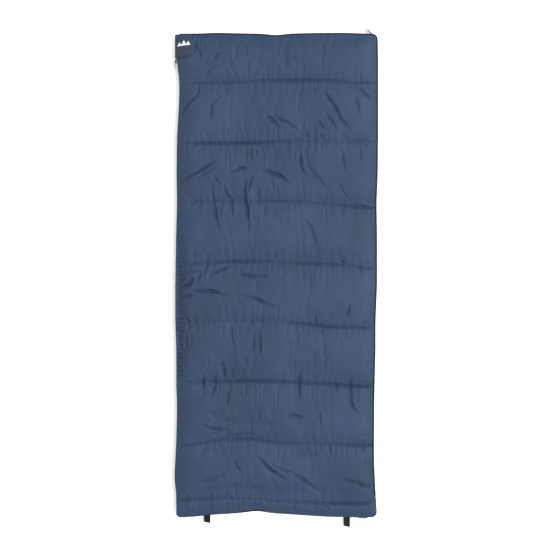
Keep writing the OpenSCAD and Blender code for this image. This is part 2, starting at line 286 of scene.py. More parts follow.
FOOT_EDGE = ([-0.40, -0.385, -0.36, -0.33, -0.30, -0.26, -0.20, -0.13, -0.08, -0.02, 0.05,
              0.12, 0.20, 0.25, 0.30, 0.32, 0.35, 0.40],
             [5, 2, 0, 0, -4, -9, -12, -17, -26, -15, -11, -6, -1, 0, 0, 3, 1, 1])


def stand_out(edge, at):
    """An edge's offset at places along it, in metres, smoothed between its points."""
    places, values = edge
    steps = np.linspace(-0.025, 0.025, 7)
    return sum(np.interp(at + s, places, values) for s in steps) / len(steps) * MM


def round_corner(x, y):
    """Moves points of the bare rectangle so that its corners follow the corner radius."""
    cx, cy = HALF_W - CORNER_R, HALF_L - CORNER_R
    a, b = np.abs(x) - cx, np.abs(y) - cy
    inside = (a > 0) & (b > 0)
    length = np.hypot(a, b)
    keep = np.where(inside, np.maximum(a, b) / np.maximum(length, 1e-9), 1)
    x = np.where(inside, np.sign(x) * (cx + a * keep), x)
    y = np.where(inside, np.sign(y) * (cy + b * keep), y)
    return x, y


def bend_outline(x, y):
    """Moves points of the straight rounded rectangle to the bag's own uneven outline."""
    reach = 0.30
    left = np.clip((-x - HALF_W + reach) / reach, 0, 1.3) ** 2
    right = np.clip((x - HALF_W + reach) / reach, 0, 1.3) ** 2
    top = np.clip((y - HALF_L + reach) / reach, 0, 1.3) ** 2
    bottom = np.clip((-y - HALF_L + reach) / reach, 0, 1.3) ** 2
    new_x = x - left * stand_out(ZIP_EDGE, y) + right * stand_out(FOLD_EDGE, y)
    new_y = y + top * stand_out(HEAD_EDGE, x) - bottom * stand_out(FOOT_EDGE, x)
    return new_x, new_y


GRID_STEP = 7.9 * MM       # between the points of the simulated cloth


def grid_lines():
    """The X and Y of the panels' grid lines. Every quilting row lies on a line."""
    xs = np.linspace(-HALF_W, HALF_W, round(2 * HALF_W / GRID_STEP) + 1)
    stops = [HALF_L, *ROWS, -HALF_L]
    ys = [HALF_L]
    for a, b in zip(stops, stops[1:]):
        ys += list(np.linspace(a, b, round((a - b) / GRID_STEP) + 1)[1:])
    return xs, np.array(ys)


# ---------------------------------------------------------------- the quilted skins

# Each quilting row of the cover: how far it strays from straight, in millimetres, and how
# deeply it bites, at these places across the bag.
ACROSS = [-0.38, -0.30, -0.20, -0.10, 0.0, 0.10, 0.20, 0.30, 0.38]
COVER_ROWS = [
    ([-5, -4, -3, 1, 5, 5, 5, -4, -5], [0.5, 0.6, 0.8, 0.6, 1.0, 1.3, 0.9, 0.6, 0.5]),
    ([-4, -5, -6, -5, 0, 3, 2, 1, -3], [0.3, 1.2, 1.4, 1.2, 0.8, 0.2, 0.2, 0.2, 0.5]),
    ([2, 0, 1, 1, 2, 0, -8, -19, -22], [0.2, 0.3, 0.2, 0.3, 0.9, 0.5, 0.3, 0.8, 1.1]),
    ([-12, -6, 2, 2, 0, -6, -9, -18, -29], [0.5, 0.4, 1.2, 1.0, 0.3, 0.9, 0.9, 0.4, 0.8]),
    ([2, 0, 3, 4, 6, -8, -18, -23, -23], [0.3, 0.2, 0.2, 0.2, 0.3, 0.9, 1.2, 0.8, 1.0]),
    ([0, -2, 3, 6, 1, -2, -7, -15, -18], [0.4, 0.4, 0.9, 1.3, 1.2, 0.8, 1.1, 1.2, 1.1]),
    ([-14, -3, 13, 15, -3, -5, -8, -13, -13], [0.6, 0.7, 0.8, 0.9, 0.8, 0.5, 0.4, 1.0, 1.2]),
    ([8, 13, 18, 15, 7, 0, -4, -7, 1], [1.0, 1.0, 0.9, 0.7, 0.8, 1.0, 1.2, 1.2, 1.0]),
]
BACK_ROWS = [([0] * len(ACROSS), [0.6] * len(ACROSS))] * len(COVER_ROWS)

# Creases of the cover, in millimetres: half width, depth, then X and Y of each point along it.
CREASES = [
    # under the flap's free edges, and down the slack zip edge
    (5, 7, -392, 845, -372, 854, -345, 860, -326, 866),
    (6, 8, -326, 864, -321, 892, -324, 930),
    (15, 6, -390, 190, -386, 60, -389, -60, -384, -190, -388, -370),
    (8, 4, -372, 128, -366, 40, -372, -30),
    (7, 5, -391, -340, -387, -420),
    *[(5 + k % 2, 8 + 2 * (k % 3), -400, y, -380 + 4 * (k % 3), y + 3,
       -362 + 9 * (k % 2), y - 3 + 5 * (k % 3)) for k, y in enumerate(range(166, -410, -17))],
    # from the head edge to the first row
    (5, 8, -314, 949, -317, 925, -318, 900, -306, 880, -301, 842),
    (4.5, 6, -306, 928, -308, 904),
    (5, 7, -330, 946, -300, 938, -262, 942),
    (5, 5, -286, 906, -287, 888),
    (4.5, 6, -209, 880, -233, 865, -260, 838),
    (5, 7, -239, 825, -266, 804, -287, 774),
    (8, 4, -384, 806, -345, 803, -300, 805),
    (5, 4, -350, 781, -364, 747),
    (6, 3, -125, 912, -121, 845),
    (5, 7, -115, 848, -117, 784),
    (5, 3, 330, 794, 320, 757),
    (6, 2.5, 290, 870, 345, 860),
    # first to second row
    (5, 9, -308, 766, -307, 720, -317, 700, -347, 673, -371, 640, -383, 606),
    (5, 7, -222, 710, -259, 664, -262, 606),
    (5, 5, -189, 580, -199, 544),
    (5, 4, -82, 646, -56, 642),
    (6, 8, -53, 636, -22, 612, 15, 574),
    (4.5, 8, -22, 639, 11, 613, 41, 599, 72, 582, 87, 556),
    (4.5, 5, 98, 577, 126, 537),
    (4.5, 6, 154, 611, 184, 574),
    (4.5, 7, 168, 560, 185, 524),
    (6, 10, 157, 750, 196, 704, 223, 663, 256, 609, 296, 553),
    (7, 6, 187, 640, 209, 609, 234, 566),
    (6, 5, 306, 713, 313, 670, 324, 624),
    (5, 8, 316, 742, 344, 714, 376, 685),
    (4.5, 5, 266, 550, 268, 527),
    # second to third row
    (4.5, 6, -101, 508, -100, 440),
    (4.5, 5, -118, 500, -119, 452),
    (4.5, 5, -84, 500, -82, 458),
    (5, 10, -388, 356, -345, 384, -300, 410, -271, 427, -232, 456),
    (7, 4, -340, 376, -290, 398, -262, 412, -234, 440),
    (5, 9, -194, 402, -166, 406, -142, 421, -112, 425),
    (7, 10, -72, 413, -37, 409, -6, 394, 22, 384, 50, 358),
    (4.5, 5, 229, 524, 231, 500),
    (5.5, 7, 91, 488, 91, 424, 116, 388),
    (6, 6, 110, 508, 118, 441, 144, 395, 176, 362, 204, 330),
    (5, 5, 256, 490, 260, 434, 274, 402),
    (5, 3, 63, 482, 68, 440),
    (6, 2.5, 322, 520, 324, 440),
    (5, 6, -248, 389, -225, 349),
    (5, 7, -207, 366, -204, 332, -194, 310, -179, 298, -176, 218),
    (6, 8, -256, 356, -250, 286, -238, 224, -224, 152),
    (5, 9, -101, 394, -105, 360, -115, 326),
    (6, 12, -125, 378, -125, 292, -117, 261, -114, 172),
    (5, 7, -74, 346, -74, 265),
    (5, 6, -49, 288, -49, 240),
    (5, 6, 244, 364, 262, 320, 286, 284),
    # third to fourth row
    (5, 3, 8, 275, 16, 250),
    (5, 7, 103, 220, 129, 197, 141, 165, 156, 106),
    (6, 7, -388, 119, -364, 136, -332, 154),
    (6, 5, -392, 92, -366, 98, -352, 84),
    (4.5, 4, -327, 112, -327, 38),
    (5, 4, -108, 133, -110, 103),
    (5, 6, -5, 93, -5, 58),
    (4.5, 7, 251, 84, 256, 40),
    (5, 5, 232, 62, 274, 46),
    # fourth to fifth row
    (5, 6, -392, -3, -362, 3, -332, 16, -290, 19),
    (5, 10, -182, 48, -197, 29, -240, 12, -264, 2),
    (5, 7, -267, 92, -273, 52, -284, 8, -290, -14),
    (5, 9, -296, 18, -304, -6, -320, -36),
    (4.5, 6, -263, 14, -263, -20),
    (6, 11, -334, 4, -333, -22, -347, -39, -392, -49),
    (6, 10, -346, -64, -293, -62, -240, -65, -211, -72, -193, -84),
    (5, 10, -393, -86, -350, -79, -322, -81),
    (5, 4, -390, -98, -340, -94),
    (6, 8, -160, 13, -132, 2, -101, -5, -34, -2),
    (6, 8, -145, -78, -105, -86, -71, -96, -36, -112, 30, -130),
    (5, 4, -312, -125, -292, -144),
    (4.5, 5, -281, -150, -280, -178),
    (7, 3, 316, -131, 338, -98),
    (4.5, 9, 150, -152, 154, -203),
    (5, 6, 213, -142, 211, -181),
    (5, 8, 283, -112, 281, -143, 265, -172),
    # fifth to sixth row
    (6, 6, -372, -130, -376, -185),
    (7, 5, -390, -160, -350, -176, -344, -215),
    (6, 9, -359, -218, -357, -262, -360, -302),
    (6, 5, -336, -222, -338, -268),
    (6, 7, -388, -212, -384, -300),
    (5, 8, -97, -150, -98, -206),
    (5, 7, -61, -146, -58, -208),
    (5, 8, -68, -204, -64, -330),
    (6, 7, -186, -188, -179, -230, -169, -275, -178, -298),
    (5, 5, -94, -232, -92, -322),
    (5, 4, 168, -204, 183, -228),
    (5, 5, 243, -256, 257, -286),
    (7, 5, 142, -292, 145, -357),
    (5, 6, 68, -333, 71, -377),
    (5, 4, 51, -347, 56, -380),
    (5, 4, 108, -350, 115, -377),
    (5, 6, 138, -384, 135, -411),
    (5, 5, 24, -394, 24, -431),
    (5, 6, -273, -317, -266, -361),
    (5, 9, -216, -327, -209, -362, -203, -408),
    (4.5, 7, -174, -361, -173, -415),
    (5, 5, -122, -317, -121, -354),
    (6, 6, -381, -338, -356, -350),
    # sixth to seventh row
    (4.5, 6, -323, -394, -320, -418),
    (4.5, 6, -312, -394, -312, -426),
    (4.5, 8, -287, -384, -292, -469),
    (5, 8, -243, -381, -245, -437, -257, -479),
    (4.5, 7, -192, -448, -197, -523),
    (4.5, 5, -209, -461, -211, -506),
    (4.5, 7, -142, -428, -140, -492),
    (5, 5, -122, -422, -122, -465),
    (5, 5, -64, -522, -75, -573),
    (5.5, 9, 88, -377, 86, -492),
    (5, 7, 229, -410, 236, -462),
    (5.5, 9, 286, -390, 290, -492, 298, -522, 320, -548),
    (5, 6, 165, -533, 172, -593),
    (5, 4, 213, -588, 213, -633),
    (7, 6, 33, -567, 61, -550, 118, -567),
    (6, 5, -381, -517, -354, -524),
    (12, 3, -266, -531, -239, -571),
    (6, 8, -302, -588, -242, -604, -179, -612),
    (6, 6, -214, -636, -100, -624, -62, -642),
    (16, 2.5, -250, -560, -170, -580, -60, -585, 40, -590),
    # seventh row to the foot
    (5, 6, 202, -650, 213, -714),
    (5, 6, 167, -666, 183, -714),
    (4.5, 6, 288, -672, 292, -694),
    (4.5, 5, 308, -676, 306, -702),
    (4.5, 6, 334, -668, 339, -696),
    (5, 5, 350, -706, 344, -752),
    (14, 3, 20, -678, 90, -690, 175, -700),
    (5, 10, -92, -705, -50, -737, -20, -765, 21, -793, 43, -805),
    (8, 8, -22, -751, 51, -773, 97, -798, 132, -828, 176, -856),
    (7, 8, 238, -792, 293, -808, 354, -829, 381, -823),
    (6, 5, -172, -725, -146, -763, -132, -790),
    (9, 6, -306, -820, -252, -798, -204, -782),
    (13, 4, -280, -843, -176, -833, -50, -838, 24, -838),
    (5, 4, 248, -836, 253, -856),
    (24, 3, -360, -852, -150, -846, 60, -853, 330, -850),
    (4.5, 8, -138, -880, -135, -898),
    (4.5, 6, -79, -899, -78, -922),
    (4.5, 4, -96, -905, -98, -930),
    (5, 5, 340, -880, 356, -905, 362, -930),
    (6, 4, 180, -885, 210, -932),
]

SHORT_CREASE = 0.090       # a crease shorter than this is shallower and narrower for it
ROW_GATHER = 3 * MM        # how far the cloth slides to and fro along a row of stitches
EDGE_GATHER = 7 * MM       # the same along the zip edge
EXTRA_CLOTH = 0.006        # how much larger the cloth is than the sheet it is sewn to
FRAMES = 24
MOST_SHIFT = 7 * MM        # no point moves further than this in the simulation
UNEVEN = 2.9 * MM          # broad rise and fall of the fill
BITE = 6.3 * MM            # depth of a stitched row
PUCKER = 5.5 * MM          # height of the gathers that cross a row
LOWEST = -4 * MM           # no crease goes further than this below the sewn edge


def fractal(points, scale, seed):
    """Smooth noise at each point, about -1 to 1."""
    shift = Vector((seed * 7.3, seed * 3.1, seed * 1.7))
    return np.array([noise.fractal(Vector(p) * scale + shift, 0.9, 2.0, 3) for p in points])


def crown(x, y, rise, row_depth, rows):
    """Height of a quilted panel over its sewn edge: full between rows, pinched at them."""
    to_side = np.clip((HALF_W - np.abs(x)) / 0.060, 0, 1)
    to_end = np.clip((HALF_L - np.abs(y)) / 0.055, 0, 1)
    side = (1 - (1 - to_side) ** 2.4) * (1 - (1 - to_end) ** 2.4)
    pinch = np.zeros_like(x)
    for place, (_, bite) in zip(ROWS, rows):
        near = np.clip(1 - np.abs(y - place) / 0.080, 0, 1)
        pinch = np.maximum(pinch, near ** 2.4 * (0.20 + 0.75 * np.interp(x, ACROSS, bite)))
    return side * (rise - row_depth * pinch)


def refine(grid, times=2):
    """Divides each step of a grid by times, along both directions, on smooth curves."""
    for axis in (0, 1):
        g = np.moveaxis(grid, axis, 0)
        padded = np.concatenate([2 * g[:1] - g[1:2], g, 2 * g[-1:] - g[-2:-1]])
        made = np.empty((times * (len(g) - 1) + 1, *g.shape[1:]))
        made[::times] = g
        for k in range(1, times):
            t = k / times
            weights = [-t * (1 - t) ** 2 / 2, (2 - 5 * t ** 2 + 3 * t ** 3) / 2,
                       (t + 4 * t ** 2 - 3 * t ** 3) / 2, -t ** 2 * (1 - t) / 2]
            made[k::times] = sum(w * padded[j:j + len(g) - 1] for j, w in enumerate(weights))
        grid = np.moveaxis(made, 0, axis)
    return grid


def distance_to_path(x, y, path):
    """Distance of each point to a broken line, and the share of the line before that place."""
    corners = np.array(path, float)
    lengths = np.linalg.norm(np.diff(corners, axis=0), axis=1)
    whole, before = lengths.sum(), 0.0
    best, share = np.full(x.shape, 1e9), np.zeros(x.shape)
    for (ax, ay), (bx, by), length in zip(corners, corners[1:], lengths):
        t = np.clip(((x - ax) * (bx - ax) + (y - ay) * (by - ay)) / length ** 2, 0, 1)
        d = np.hypot(x - ax - t * (bx - ax), y - ay - t * (by - ay))
        closer = d < best
        best = np.where(closer, d, best)
        share = np.where(closer, (before + t * length) / whole, share)
        before += length
    return best, share


def press_creases(points, creases, side):
    """Presses each crease into the skin: a valley, narrower at its ends, with soft lips."""
    for number, (half_width, depth, *path) in enumerate(creases):
        corners = np.array(path, float).reshape(-1, 2) * MM
        low = corners.min(0) - 6 * half_width * MM
        high = corners.max(0) + 6 * half_width * MM
        near = np.flatnonzero(((points[:, :2] > low) & (points[:, :2] < high)).all(1))
        x, y = points[near, 0], points[near, 1]
        length = np.linalg.norm(np.diff(corners, axis=0), axis=1).sum()
        depth *= min(1, 0.45 + length / SHORT_CREASE * 0.55)
        half_width *= min(1, 0.65 + length / SHORT_CREASE * 0.35)
        sway = MM * np.array([3.0 * noise.noise(Vector((a * 22, b * 22, number)))
                              + 1.5 * noise.noise(Vector((a * 65, b * 65, number)))
                              for a, b in zip(x, y)])
        d, share = distance_to_path(x + sway, y + sway, corners)
        fade = np.sin(math.pi * np.clip(share, 0.01, 0.99)) ** 0.9
        beat = [noise.noise(Vector((length * t * 30, number * 1.7, 0.5)))
                for t in np.linspace(0, 1, 33)]
        fade *= 0.95 + 0.60 * np.interp(share, np.linspace(0, 1, 33), beat)
        d /= half_width * MM * (0.38 + 0.30 * fade)
        valley = (0.84 * np.exp(-d ** 1.5) + 0.30 * np.exp(-(d / 3.6) ** 2)
                  - 0.16 * np.exp(-((d - 2.6) / 1.1) ** 2))
        points[near, 2] -= side * depth * MM * fade * valley
    return points


def bite_rows(points, rows, side):
    """The narrow notch of every row's stitches, as deep as the row bites at each place."""
    for place, (stray, bite) in zip(ROWS, rows):
        line = place + np.interp(points[:, 0], ACROSS, stray) * MM
        to_side = np.clip((HALF_W - 0.004 - np.abs(points[:, 0])) / 0.03, 0, 1)
        near = np.exp(-np.abs(points[:, 1] - line) / (3.4 * MM))
        points[:, 2] -= side * BITE * near * to_side * np.interp(points[:, 0], ACROSS, bite)
    return points


def pucker_rows(points, rows, side):
    """Small gathers that cross every row, in patches along it."""
    for k, (place, (stray, _)) in enumerate(zip(ROWS, rows)):
        line = place + np.interp(points[:, 0], ACROSS, stray) * MM
        away = np.abs(points[:, 1] - line)
        near = np.flatnonzero((away < 0.085) & (np.abs(points[:, 0]) < HALF_W - 0.012))
        for i in near:
            x, y = points[i, 0], points[i, 1]
            patch = noise.noise(Vector((x * 7, y * 5, k * 3.7))) + 0.45
            if patch > 0:
                fold = noise.noise(Vector((x * 78, y * 9, k * 1.9)))
                points[i, 2] += side * PUCKER * fold * patch * math.exp(-away[i] / 0.026)
    return points


def follow_rows(x, y, rows):
    """Moves the grid's points along the bag so that its row lines stray as the rows do."""
    strays = np.array([np.interp(x, ACROSS, stray) for stray, _ in rows]) * MM
    stops = [HALF_L, *ROWS, -HALF_L]
    strays = np.vstack([0 * x, strays, 0 * x])
    moved = y.copy()
    for k, (high, low) in enumerate(zip(stops, stops[1:])):
        share = np.clip((high - y) / (high - low), 0, 1)
        inside = (y <= high) & (y > low)
        share = share * share * (3 - 2 * share)
        moved = np.where(inside, y + strays[k] * (1 - share) + strays[k + 1] * share, moved)
    to_side = np.clip((HALF_W - np.abs(x)) / 0.02, 0, 1)
    return y + (moved - y) * to_side


def held_jitter(places, seed, amount, length):
    """A smooth slide to and fro along a seam, which gathers the cloth in places."""
    return amount * np.array([noise.noise(Vector((p / length, seed * 5.7, 0.3))) for p in places])


def relax(name, points, faces, held, pressure):
    """Runs the cloth simulation on a sheet that is held at its seams. Returns its points."""
    mesh = bpy.data.meshes.new(name)
    mesh.from_pydata([tuple(p) for p in points], [], faces)
    obj = bpy.data.objects.new(name, mesh)
    scene = bpy.context.scene
    scene.collection.objects.link(obj)
    group = obj.vertex_groups.new(name="held")
    group.add([int(i) for i in np.flatnonzero(held)], 1.0, "REPLACE")
    cloth = obj.modifiers.new("cloth", "CLOTH")
    settings = cloth.settings
    settings.quality = 4
    settings.mass = 0.25
    settings.tension_stiffness = 25
    settings.compression_stiffness = 25
    settings.shear_stiffness = 8
    settings.bending_stiffness = 0.15
    settings.air_damping = 3
    settings.shrink_min = -EXTRA_CLOTH
    settings.use_pressure = True
    settings.uniform_pressure_force = pressure
    settings.vertex_group_mass = "held"
    settings.effector_weights.gravity = 0
    cloth.collision_settings.use_collision = False
    cloth.point_cache.frame_start = 1
    cloth.point_cache.frame_end = FRAMES
    for number in range(1, FRAMES + 1):
        scene.frame_set(number)
    shaped = obj.evaluated_get(bpy.context.evaluated_depsgraph_get()).data
    result = np.array([v.co for v in shaped.vertices])
    bpy.data.objects.remove(obj)
    scene.frame_set(1)
    return result


def sheet_faces(nx, ny):
    """Quads of a grid of nx by ny points, rows from the head to the foot, facing up."""
    return [(j * nx + i, (j + 1) * nx + i, (j + 1) * nx + i + 1, j * nx + i + 1)
            for j in range(ny - 1) for i in range(nx - 1)]


def strip_faces(nx, ny, start=0):
    """Quads of such a grid that face the other way. Its first point is the one numbered start."""
    return [(k, k + 1, k + nx + 1, k + nx)
            for j in range(ny - 1) for k in range(start + j * nx, start + j * nx + nx - 1)]


def border_loop(nx, ny):
    """The grid's border points in order, starting at the head's left corner."""
    left = [j * nx for j in range(ny)]
    foot = [(ny - 1) * nx + i for i in range(1, nx)]
    right = [j * nx + nx - 1 for j in range(ny - 2, -1, -1)]
    head = [i for i in range(nx - 2, 0, -1)]
    return left + foot + right + head


def add_rings(points, faces, loop, rings):
    """Adds rings of points under the border. Each ring is (inset, height)."""
    points = list(map(tuple, points))
    border = np.array([points[i] for i in loop])
    ahead, behind = np.roll(border, -1, 0), np.roll(border, 1, 0)
    along = ahead - behind
    outward = np.stack([along[:, 1], -along[:, 0]], 1)
    outward = -outward / np.maximum(np.linalg.norm(outward, axis=1), 1e-9)[:, None]
    centre_side = np.sign((border[:, :2] * outward).sum(1)).mean()
    outward *= 1 if centre_side > 0 else -1
    previous = list(loop)
    for inset, height in rings:
        start = len(points)
        ring = border[:, :2] - outward * inset
        points += [(p[0], p[1], height) for p in ring]
        current = list(range(start, start + len(loop)))
        n = len(loop)
        for k in range(n):
            m = (k + 1) % n
            faces.append((previous[k], current[k], current[m], previous[m]))
        previous = current
    return points, faces


def mesh_object(name, points, faces, material, smooth=True):
    mesh = bpy.data.meshes.new(name)
    mesh.from_pydata([tuple(p) for p in points], [], faces)
    mesh.materials.append(material)
    mesh.validate()
    obj = bpy.data.objects.new(name, mesh)
    bpy.context.scene.collection.objects.link(obj)
    mesh.polygons.foreach_set("use_smooth", [smooth] * len(mesh.polygons))
    mesh.update()
    return obj


def thicken(obj, thickness, centred=False):
    """Gives a sheet its thickness: behind its face, or half to each side of it."""
    modifier = obj.modifiers.new("thickness", "SOLIDIFY")
    modifier.thickness = thickness
    if centred:
        modifier.offset = 0


def quilted_skin(name, side, edge_z, rise, row_depth, rows, creases, seed, swell, fineness):
    """The points of a quilted sheet, and how many lie along its grid's two directions.

    side is 1 where the outer face looks up. rise is the loft over the sewn edge, row_depth how
    much less of it there is at a row, swell the pressure of the fill, and fineness how many
    steps each step of the simulated grid is divided into.
    """
    xs, ys = grid_lines()
    nx, ny = len(xs), len(ys)
    gx, gy = np.meshgrid(xs, ys)
    x, y = round_corner(gx.ravel(), gy.ravel())
    base = crown(x, y, rise, row_depth, rows)
    x, y = bend_outline(x, y)
    lane, file = np.tile(np.arange(nx), ny), np.repeat(np.arange(ny), nx)
    row_lines = [int(np.argmin(np.abs(ys - r))) for r in ROWS]
    y = follow_rows(x, y, rows)
    on_row = np.isin(file, row_lines)
    on_side = (lane == 0) | (lane == nx - 1)
    on_edge = on_side | (file == 0) | (file == ny - 1)
    points = np.stack([x, y, base], 1)
    for k, line in enumerate(row_lines):
        here = (file == line) & ~on_side
        points[here, 0] += held_jitter(x[here], seed + k, ROW_GATHER, 0.07)
    start = points.copy()
    gathered = (lane == 0) & ~np.isin(file, [0, ny - 1])
    points[gathered, 1] += held_jitter(points[gathered, 1], seed + 40, EDGE_GATHER, 0.09)
    held = on_edge | on_row
    shift = relax(name, points, sheet_faces(nx, ny), held, swell) - start
    size = np.maximum(np.linalg.norm(shift, axis=1), 1e-9)
    points = start + shift * (MOST_SHIFT * np.tanh(size / MOST_SHIFT) / size)[:, None]
    points[:, 2] += UNEVEN * fractal(points, 6.5, seed) * np.clip(points[:, 2] / rise, 0, 1)
    grid = refine(points.reshape(ny, nx, 3), fineness)
    ny, nx = grid.shape[:2]
    points = grid.reshape(-1, 3)
    points[:, 2] = edge_z + side * points[:, 2]
    border = np.array(border_loop(nx, ny))
    edge_points = points[border].copy()
    points = bite_rows(points, rows, side)
    points = pucker_rows(points, rows, side)
    points = press_creases(points, creases, side)
    points[:, 2] = edge_z + side * np.maximum(side * (points[:, 2] - edge_z), LOWEST)
    points[border] = edge_points
    return points, nx, ny


def finish_skin(name, body, points, nx, ny, edge_z, in_z, node_names):
    step = (in_z - edge_z) / 5
    rings = [(-0.4 * MM, edge_z + step), (-0.5 * MM, edge_z + 2.5 * step),
             (-0.3 * MM, in_z - 0.8 * step), (1.2 * MM, in_z), (9 * MM, in_z)]
    points, faces = add_rings(points, sheet_faces(nx, ny), border_loop(nx, ny), rings)
    if in_z > edge_z:
        faces = [tuple(reversed(f)) for f in faces]
    obj = mesh_object(name, points, faces, M["shell"])
    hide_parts(*node_names)
    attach(obj, body)
    return obj


def cover_skin():
    edge_z = COVER_IN_Z + EDGE_T
    points, nx, ny = quilted_skin("cover_skin", 1, edge_z, rise=15 * MM, row_depth=5 * MM,
                                  rows=COVER_ROWS, creases=CREASES, seed=3, swell=2.0,
                                  fineness=3)
    return finish_skin("cover_skin", "cover", points, nx, ny, edge_z, COVER_IN_Z,
                       ["cover_shell", "cover_batting"])


def back_skin():
    edge_z = BACK_IN_Z - EDGE_T
    points, nx, ny = quilted_skin("back_skin", -1, edge_z, rise=13.8 * MM, row_depth=4 * MM,
                                  rows=BACK_ROWS, creases=[], seed=9, swell=1.2, fineness=2)
    points[:, 2] = np.maximum(points[:, 2], 0.2 * MM)        # it lies flat on the floor
    return finish_skin("back_skin", "back", points, nx, ny, edge_z, BACK_IN_Z,
                       ["back_shell", "back_batting"])


# ---------------------------------------------------------------- edges: zip, bindings, seam

def rim(step=6 * MM):
    """The bag's outline as points in order: zip side from the head down, foot, fold side, head."""
    cx, cy = HALF_W - CORNER_R, HALF_L - CORNER_R
    corners = [(-cx, -cy, 180), (cx, -cy, 270), (cx, cy, 0), (-cx, cy, 90)]
    points, last = [], np.array([-HALF_W, cy])
    for mx, my, start in corners:
        turn = np.radians(np.linspace(start, start + 90, 10))
        arc = np.stack([mx + CORNER_R * np.cos(turn), my + CORNER_R * np.sin(turn)], 1)
        count = max(2, round(np.linalg.norm(arc[0] - last) / step))
        straight = last + (arc[0] - last) * np.linspace(0, 1, count, endpoint=False)[:, None]
        points += [*straight, *arc[:-1]]
        last = arc[-1]
    points.append(last)
    x, y = bend_outline(*np.array(points).T)
    return np.stack([x, y], 1)


def outward_of(points):
    """Unit normals of an open line of plan points that runs with the bag on its left."""
    along = np.gradient(points, axis=0)
    normal = np.stack([along[:, 1], -along[:, 0]], 1)
    return normal / np.linalg.norm(normal, axis=1)[:, None]


def resampled(points, step):
    """The same line with its points a constant distance apart."""
    run = np.concatenate([[0], np.cumsum(np.linalg.norm(np.diff(points, axis=0), axis=1))])
    places = np.arange(0, run[-1], step)
    return np.stack([np.interp(places, run, points[:, k]) for k in (0, 1)], 1)


def edging(name, line, section, thickness, material):
    """A tape along a plan line. The section is a list of (distance outwards, height)."""
    outward = outward_of(line)
    points = [(p[0] + o[0] * out, p[1] + o[1] * out, z)
              for p, o in zip(line, outward) for out, z in section]
    obj = mesh_object(name, points, strip_faces(len(section), len(line)), material)
    thicken(obj, thickness, centred=True)
    return obj


def in_millimetres(section):
    return [(out * MM, z * MM) for out, z in section]


def zip_line(rim_points):
    """The rim from the top of the zip side, round the foot, to the end of the zip."""
    end = next(k for k, p in enumerate(rim_points) if p[0] > 0.9 * HALF_W and p[1] > FOLD_Y0)
    return rim_points[:end + 1]


def zip_halves(line):
    """Tape and teeth of both halves of the zip."""
    halves = (("back", BACK_IN_Z, -1), ("cover", COVER_IN_Z, 1))
    teeth_line = resampled(line[line[:, 1].argmax():], 1.2 * MM)
    teeth_line = teeth_line[~((teeth_line[:, 0] < 0) & (teeth_line[:, 1] > STOP_Y))]
    outward = outward_of(teeth_line)
    for number, (body, in_z, side) in enumerate(halves):
        near = (MID_Z + side * 3.6 * MM) / MM        # heights of the tape's two edges
        far = (in_z + side * EDGE_T) / MM
        section = in_millimetres([(0.9, near), (1.0, near + 0.3 * (far - near)),
                                  (1.1, near + 0.7 * (far - near)), (0.9, far - side * 0.5)])
        tape = edging(f"{body}_tape", line, section, thickness=0.5 * MM, material=M["tape"])
        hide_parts(f"{body}_zip_tape")
        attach(tape, body)
        points, faces = [], []
        for k in range(number, len(teeth_line), 2):
            add_tooth(points, faces, teeth_line[k], outward[k], side)
        teeth = mesh_object(f"{body}_teeth", points, faces, M["teeth"], smooth=False)
        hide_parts(f"{body}_zip_teeth")
        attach(teeth, body)


def add_tooth(points, faces, place, outward, side):
    """One zip tooth: a block that narrows towards the other row."""
    along = np.array([-outward[1], outward[0]])
    start = len(points)
    for reach, half, low, high in ((3.4, 0.50, -0.2, 1.8), (-0.7, 0.34, 0.3, 1.5)):
        z = MID_Z + side * reach * MM
        for a, o in ((-half, low), (half, low), (half, high), (-half, high)):
            p = place + along * a * MM + outward * o * MM
            points.append((p[0], p[1], z))
    for quad in ((0, 1, 2, 3), (7, 6, 5, 4), (0, 4, 5, 1), (1, 5, 6, 2), (2, 6, 7, 3),
                 (3, 7, 4, 0)):
        faces.append(tuple(start + i for i in (quad if side < 0 else reversed(quad))))


def fold_seam(rim_points):
    """The bound seam that the cover turns on: one tape that bends between the two panels."""
    line = rim_points[(rim_points[:, 0] > 0.9 * HALF_W) & (rim_points[:, 1] >= FOLD_Y0)
                      & (rim_points[:, 1] <= HALF_L - CORNER_R + 1 * MM)]
    low, high = (BACK_IN_Z - EDGE_T) / MM, (COVER_IN_Z + EDGE_T) / MM
    middle = MID_Z / MM
    section = in_millimetres([
        (-4.5, low - 2.8), (-1.5, low - 1.6), (0.9, low + 0.4), (1.6, low + 4), (1.7, middle - 4),
        (1.3, middle - 1.2), (1.0, middle), (1.3, middle + 1.2), (1.7, middle + 4),
        (1.6, high - 4), (0.9, high - 0.4), (-1.5, high + 1.6), (-4.5, high + 2.8)])
    seam = edging("fold_seam", line, section, thickness=0.8 * MM, material=M["binding"])
    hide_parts("back_fold_binding", "cover_fold_binding")
    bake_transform(seam)


def head_bindings(rim_points):
    """The tapes that bind the head edges of the two panels, corners included."""
    start = next(k for k, p in enumerate(rim_points)
                 if p[0] > 0.9 * HALF_W and p[1] > HALF_L - CORNER_R)
    line = rim_points[start - 2:]
    for body, edge, inner, side in (("back", BACK_IN_Z - EDGE_T, BACK_IN_Z, -1),
                                    ("cover", COVER_IN_Z + EDGE_T, COVER_IN_Z, 1)):
        edge, inner = edge / MM, inner / MM
        section = in_millimetres([
            (-4.0, edge + side * 2.6), (-1.5, edge + side * 1.5), (0.8, edge - side * 0.3),
            (1.2, edge - side * 4), (1.0, inner + side * 1.5), (0.2, inner - side * 0.2),
            (-8, inner - side * 0.4)])
        tape = edging(f"{body}_head_tape", line, section, thickness=0.7 * MM,
                      material=M["binding"])
        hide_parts(f"{body}_head_binding")
        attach(tape, body)


# ---------------------------------------------------------------- linings

LINING_MOST = 4.2          # millimetres that a lining rises or dips at most


